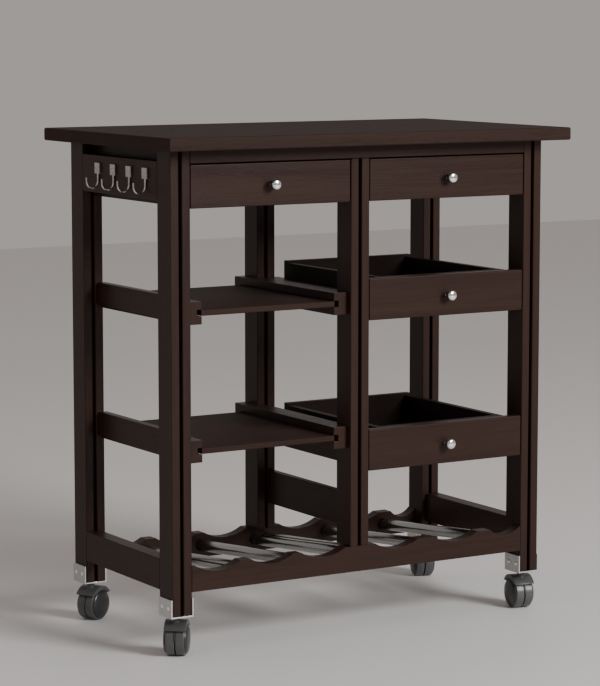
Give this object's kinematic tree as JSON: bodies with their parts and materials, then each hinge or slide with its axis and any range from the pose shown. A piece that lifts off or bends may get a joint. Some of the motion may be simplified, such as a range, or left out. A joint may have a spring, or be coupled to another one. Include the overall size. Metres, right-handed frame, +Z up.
{
  "type": "bar cart",
  "caption": "Dark wooden bar cart on twin-wheel casters, with open drawers, pull-out shelves, hooks on its left side and a bottle rack along the bottom.",
  "frame": {"origin": "on the floor under the middle of the tabletop", "axes": "+Z up; -Y towards the drawers' knobs; the hooks are on the -X side"},
  "size_m": [0.8, 0.464, 0.87],
  "materials": {
    "dark_wood": "satin espresso stain with a fine straight grain",
    "inner_wood": "matt espresso stain on the inner pieces",
    "chrome": "polished chrome plating",
    "bare_steel": "plain zinc-plated sheet steel",
    "rod_steel": "dull grey steel tube",
    "caster_plastic": "dark grey moulded plastic with a low sheen"
  },
  "bodies": {
    "frame": {"tabletop": "dark_wood", "front_left_post": "dark_wood", "front_middle_post": "dark_wood", "front_right_post": "dark_wood", "rear_left_post": "dark_wood", "rear_middle_post": "dark_wood", "rear_right_post": "dark_wood", "front_top_rail": "dark_wood", "rear_top_rail": "dark_wood", "front_bottle_rail": "dark_wood", "rear_bottle_rail": "dark_wood", "left_bottom_rail": "dark_wood", "right_bottom_rail": "dark_wood", "hook_rail": "dark_wood", "middle_lower_rail": "inner_wood", "upper_shelf_runner_left": "inner_wood", "upper_shelf_runner_right": "inner_wood", "lower_shelf_runner_left": "inner_wood", "lower_shelf_runner_right": "inner_wood", "top_drawer_runner_left": "inner_wood", "top_drawer_runner_middle": "inner_wood", "top_drawer_runner_right": "inner_wood", "middle_drawer_runner_left": "inner_wood", "middle_drawer_runner_right": "inner_wood", "lower_drawer_runner_left": "inner_wood", "lower_drawer_runner_right": "inner_wood", "bottle_rods_left": "rod_steel", "bottle_rods_right": "rod_steel", "hook_1": "chrome", "hook_2": "chrome", "hook_3": "chrome", "hook_4": "chrome", "front_left_bracket": "bare_steel", "rear_left_bracket": "bare_steel", "front_right_bracket": "bare_steel", "rear_right_bracket": "bare_steel"},
    "left_drawer": {"left_drawer_front": "dark_wood", "left_drawer_box": "inner_wood", "left_drawer_knob": "chrome"},
    "right_top_drawer": {"right_top_drawer_front": "dark_wood", "right_top_drawer_box": "inner_wood", "right_top_drawer_knob": "chrome"},
    "right_middle_drawer": {"right_middle_drawer_front": "dark_wood", "right_middle_drawer_box": "inner_wood", "right_middle_drawer_knob": "chrome"},
    "right_lower_drawer": {"right_lower_drawer_front": "dark_wood", "right_lower_drawer_box": "inner_wood", "right_lower_drawer_knob": "chrome"},
    "upper_shelf": {"upper_shelf": "dark_wood"},
    "lower_shelf": {"lower_shelf": "dark_wood"},
    "front_left_caster": {"front_left_caster_hood": "caster_plastic"},
    "front_left_wheels": {"front_left_caster_wheels": "caster_plastic"},
    "rear_left_caster": {"rear_left_caster_hood": "caster_plastic"},
    "rear_left_wheels": {"rear_left_caster_wheels": "caster_plastic"},
    "front_right_caster": {"front_right_caster_hood": "caster_plastic"},
    "front_right_wheels": {"front_right_caster_wheels": "caster_plastic"},
    "rear_right_caster": {"rear_right_caster_hood": "caster_plastic"},
    "rear_right_wheels": {"rear_right_caster_wheels": "caster_plastic"}
  },
  "joints": [
    {"name": "left_drawer_slide", "type": "slide", "parent": "frame", "child": "left_drawer", "axis": [0, -1, 0], "range_m": [0, 0.24]},
    {"name": "right_top_drawer_slide", "type": "slide", "parent": "frame", "child": "right_top_drawer", "axis": [0, -1, 0], "range_m": [0, 0.24]},
    {"name": "right_middle_drawer_slide", "type": "slide", "parent": "frame", "child": "right_middle_drawer", "axis": [0, -1, 0], "range_m": [0, 0.24]},
    {"name": "right_lower_drawer_slide", "type": "slide", "parent": "frame", "child": "right_lower_drawer", "axis": [0, -1, 0], "range_m": [0, 0.24]},
    {"name": "upper_shelf_slide", "type": "slide", "parent": "frame", "child": "upper_shelf", "axis": [0, -1, 0], "range_m": [0, 0.22]},
    {"name": "lower_shelf_slide", "type": "slide", "parent": "frame", "child": "lower_shelf", "axis": [0, -1, 0], "range_m": [0, 0.22]},
    {"name": "front_left_swivel", "type": "hinge", "parent": "frame", "child": "front_left_caster", "pos_m": [-0.3545, -0.159, 0.065], "axis": [0, 0, 1], "continuous": true},
    {"name": "front_left_roll", "type": "hinge", "parent": "front_left_caster", "child": "front_left_wheels", "pos_m": [-0.34969, -0.15261, 0.0275], "axis": [0.7986, -0.6018, 0], "continuous": true},
    {"name": "rear_left_swivel", "type": "hinge", "parent": "frame", "child": "rear_left_caster", "pos_m": [-0.3545, 0.159, 0.065], "axis": [0, 0, 1], "continuous": true},
    {"name": "rear_left_roll", "type": "hinge", "parent": "rear_left_caster", "child": "rear_left_wheels", "pos_m": [-0.34744, 0.16276, 0.0275], "axis": [0.4695, -0.8829, 0], "continuous": true},
    {"name": "front_right_swivel", "type": "hinge", "parent": "frame", "child": "front_right_caster", "pos_m": [0.3545, -0.159, 0.065], "axis": [0, 0, 1], "continuous": true},
    {"name": "front_right_roll", "type": "hinge", "parent": "front_right_caster", "child": "front_right_wheels", "pos_m": [0.35603, -0.15115, 0.0275], "axis": [0.9816, -0.1908, 0], "continuous": true},
    {"name": "rear_right_swivel", "type": "hinge", "parent": "frame", "child": "rear_right_caster", "pos_m": [0.3545, 0.159, 0.065], "axis": [0, 0, 1], "continuous": true},
    {"name": "rear_right_roll", "type": "hinge", "parent": "rear_right_caster", "child": "rear_right_wheels", "pos_m": [0.35737, 0.16647, 0.0275], "axis": [0.9336, -0.3584, 0], "continuous": true}
  ]
}
